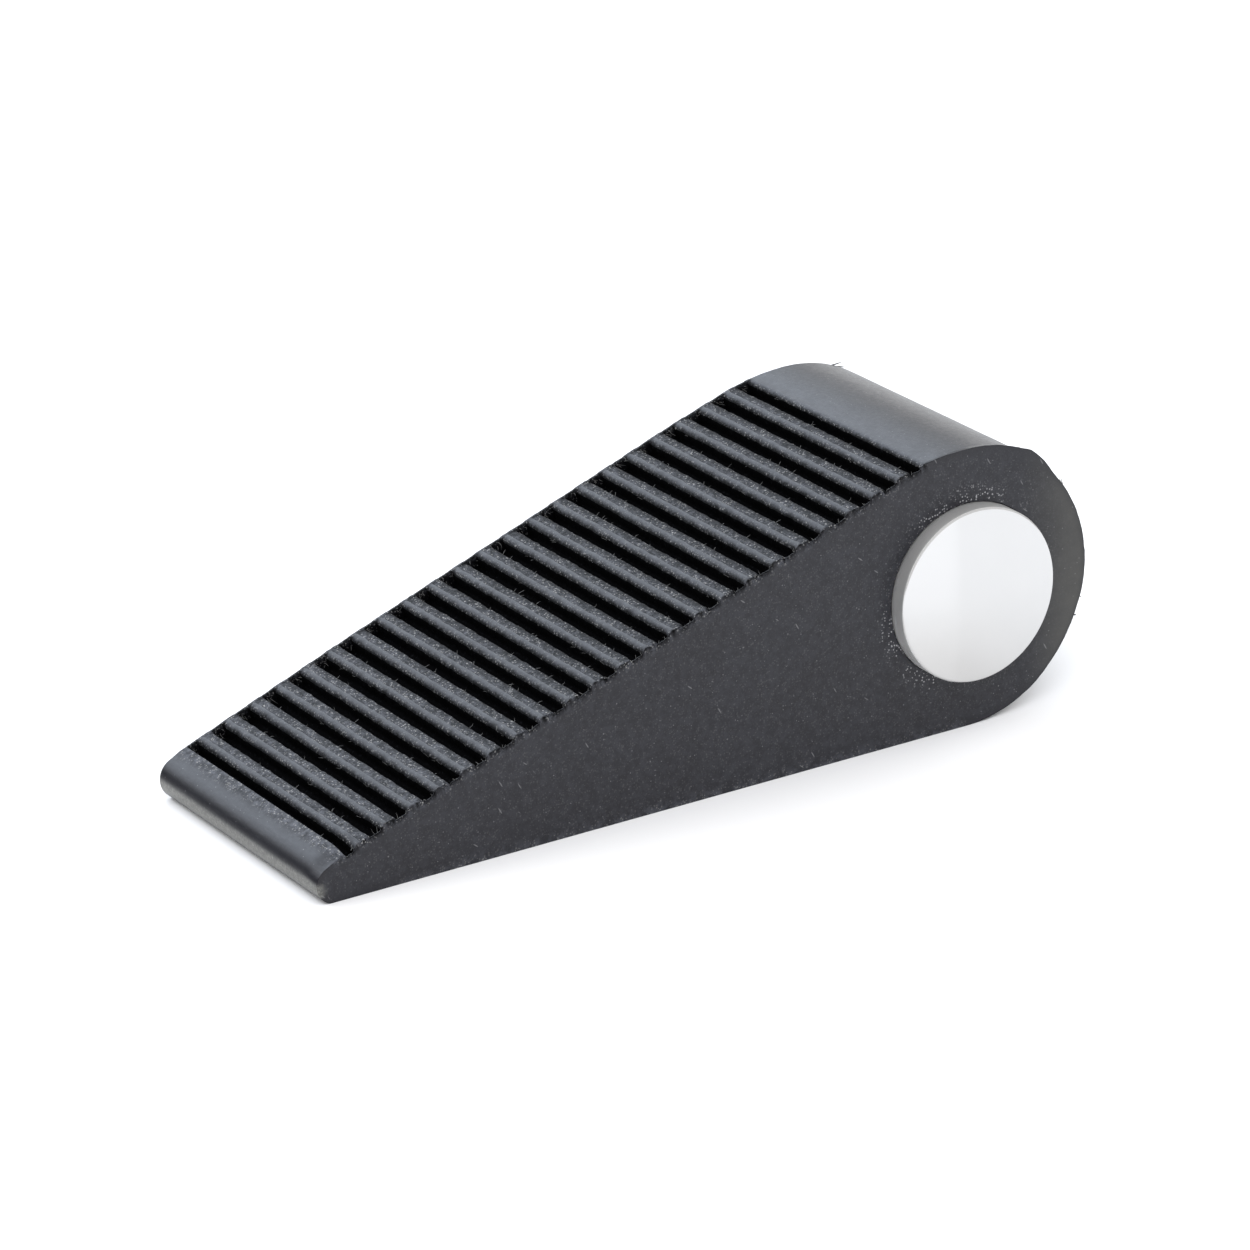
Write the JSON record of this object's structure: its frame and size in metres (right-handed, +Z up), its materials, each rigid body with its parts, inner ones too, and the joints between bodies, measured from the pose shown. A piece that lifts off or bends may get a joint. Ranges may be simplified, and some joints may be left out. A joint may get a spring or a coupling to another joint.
{
  "type": "door stop",
  "caption": "Rubber wedge door stop with a cross-ribbed ramp and a round heel that holds a steel core behind polished domed end caps.",
  "frame": {"origin": "on the floor plane under the centre of the overall box", "axes": "+X from the toe to the heel, +Y across the width, +Z up from the sole"},
  "size_m": [0.1214, 0.0492, 0.04],
  "materials": {
    "wedge_rubber": "matte moulded black rubber, satin on the ramp and the heel",
    "core_steel": "turned mild steel",
    "cap_metal": "polished stainless steel",
    "stud_steel": "yellow zinc plated steel"
  },
  "bodies": {
    "root": {"wedge_body": "wedge_rubber", "core_weight": "core_steel", "left_end_cap": "cap_metal", "right_end_cap": "cap_metal", "tie_stud": "stud_steel"}
  },
  "joints": []
}
